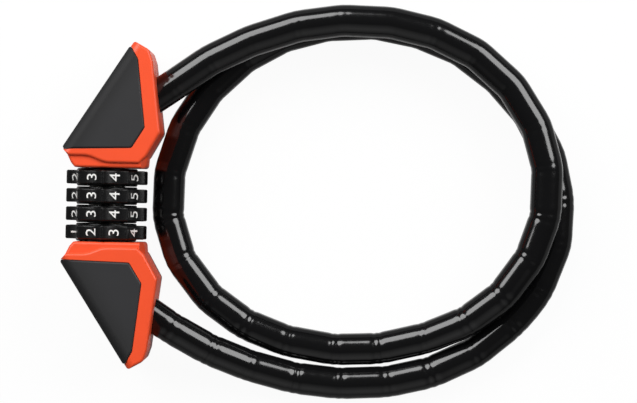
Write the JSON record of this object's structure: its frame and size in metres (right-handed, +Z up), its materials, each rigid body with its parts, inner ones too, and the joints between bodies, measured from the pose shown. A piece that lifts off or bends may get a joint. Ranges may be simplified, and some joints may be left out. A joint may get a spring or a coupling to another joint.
{
  "type": "armoured combination cable lock",
  "caption": "Armoured bicycle cable lock with a code-dial head between two triangular cases, joined by a long looped black cable.",
  "frame": {"origin": "on the surface that the lock lies on, under the middle of the lock head (both cases and the dials, without the cable)", "axes": "+Y along the dials' axis towards the case that holds the barrel, +X across the head towards the cable loop, +Z up through the dials' numbered front"},
  "size_m": [0.2404, 0.1861, 0.04],
  "materials": {
    "case_orange": "moulded, satin, orange-red",
    "soft_touch_grey": "soft-touch overmould, dark grey",
    "dial_black": "moulded satin black with white numerals",
    "code_ring_brass": "turned",
    "die_cast_zinc": "die-cast, dull grey",
    "turned_steel": "turned, bright plated",
    "spring_steel": "blued strip",
    "screw_steel": "dark plated",
    "cable_sleeve_black": "extruded, glossy black",
    "rope_wire": "stranded galvanised wire",
    "armour_steel": "hardened, dark"
  },
  "bodies": {
    "lock_head": {"upper_front_frame": "case_orange", "upper_rear_frame": "case_orange", "upper_front_cover": "soft_touch_grey", "upper_rear_cover": "soft_touch_grey", "upper_case_screws": "screw_steel", "barrel_block": "die_cast_zinc", "barrel_tube": "turned_steel", "barrel_end_ring": "turned_steel", "barrel_cross_pin": "turned_steel", "click_spring": "spring_steel", "upper_ferrule": "turned_steel", "upper_ferrule_pin": "turned_steel", "cable_sleeve": "cable_sleeve_black", "steel_rope": "rope_wire", "armour_shells": "armour_steel", "armour_rings": "armour_steel"},
    "bolt_end": {"lower_front_frame": "case_orange", "lower_rear_frame": "case_orange", "lower_front_cover": "soft_touch_grey", "lower_rear_cover": "soft_touch_grey", "lower_case_screws": "screw_steel", "bolt_block": "die_cast_zinc", "locking_pin": "turned_steel", "bolt_cross_pin": "turned_steel", "lower_ferrule": "turned_steel", "lower_ferrule_pin": "turned_steel", "cable_sleeve_tail": "cable_sleeve_black", "steel_rope_tail": "rope_wire", "armour_shells_tail": "armour_steel", "armour_rings_tail": "armour_steel"},
    "dial_1": {"dial_1": "dial_black", "code_ring_1": "code_ring_brass"},
    "dial_2": {"dial_2": "dial_black", "code_ring_2": "code_ring_brass"},
    "dial_3": {"dial_3": "dial_black", "code_ring_3": "code_ring_brass"},
    "dial_4": {"dial_4": "dial_black", "code_ring_4": "code_ring_brass"}
  },
  "joints": [
    {"name": "dial_1_turn", "type": "hinge", "parent": "lock_head", "child": "dial_1", "pos_m": [-0.0025, 0.01282, 0.02], "axis": [0, 1, 0], "continuous": true},
    {"name": "dial_2_turn", "type": "hinge", "parent": "lock_head", "child": "dial_2", "pos_m": [-0.0025, 0.00428, 0.02], "axis": [0, 1, 0], "continuous": true},
    {"name": "dial_3_turn", "type": "hinge", "parent": "lock_head", "child": "dial_3", "pos_m": [-0.0025, -0.00428, 0.02], "axis": [0, 1, 0], "continuous": true},
    {"name": "dial_4_turn", "type": "hinge", "parent": "lock_head", "child": "dial_4", "pos_m": [-0.0025, -0.01282, 0.02], "axis": [0, 1, 0], "continuous": true},
    {"name": "bolt_slide", "type": "slide", "parent": "lock_head", "child": "bolt_end", "axis": [0, -1, 0], "range_m": [0, 0.045]}
  ]
}
